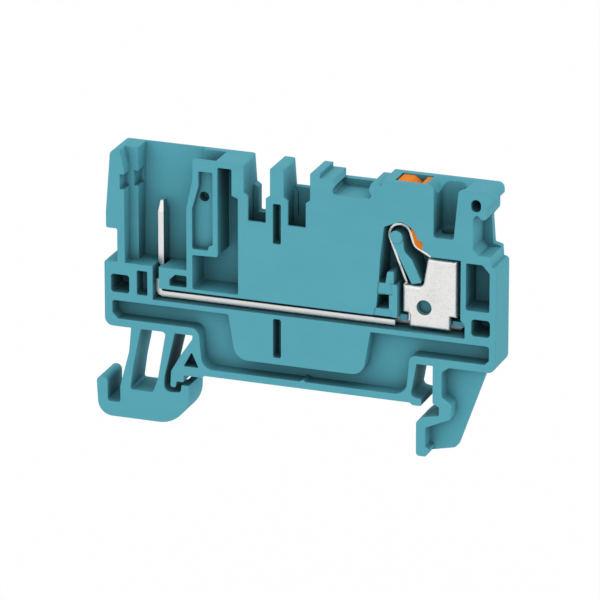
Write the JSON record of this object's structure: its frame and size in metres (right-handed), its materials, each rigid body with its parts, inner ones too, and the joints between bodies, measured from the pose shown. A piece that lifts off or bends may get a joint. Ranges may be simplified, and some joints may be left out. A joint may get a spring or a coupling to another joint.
{
  "type": "feed-through terminal block",
  "caption": "Slim DIN-rail feed-through terminal block with a plug-in pin socket on one side and a push-in spring clamp with a release pusher on the other.",
  "frame": {"origin": "middle of the rail on its top face, at mid-thickness of the block", "axes": "+X along the block from the plug socket to the wire clamp, +Y from the open front to the closed back, +Z away from the rail"},
  "size_m": [0.055, 0.0052, 0.0369],
  "materials": {
    "housing_plastic": "satin moulded polyamide",
    "bar_metal": "tin-plated copper",
    "cage_metal": "tin-plated copper",
    "spring_steel": "stainless spring strip",
    "pusher_plastic": "satin moulded plastic"
  },
  "bodies": {
    "block": {"housing": "housing_plastic", "current_bar": "bar_metal", "clamp_cage": "cage_metal", "clamp_spring": "spring_steel"},
    "pusher": {"release_pusher": "pusher_plastic"}
  },
  "joints": [
    {"name": "pusher_slide", "type": "slide", "parent": "block", "child": "pusher", "axis": [0, 0, -1], "range_m": [0, 0.0016], "stiffness_N_per_m": 5000, "springref_m": -0.0002, "deforming": ["clamp_spring"]}
  ]
}
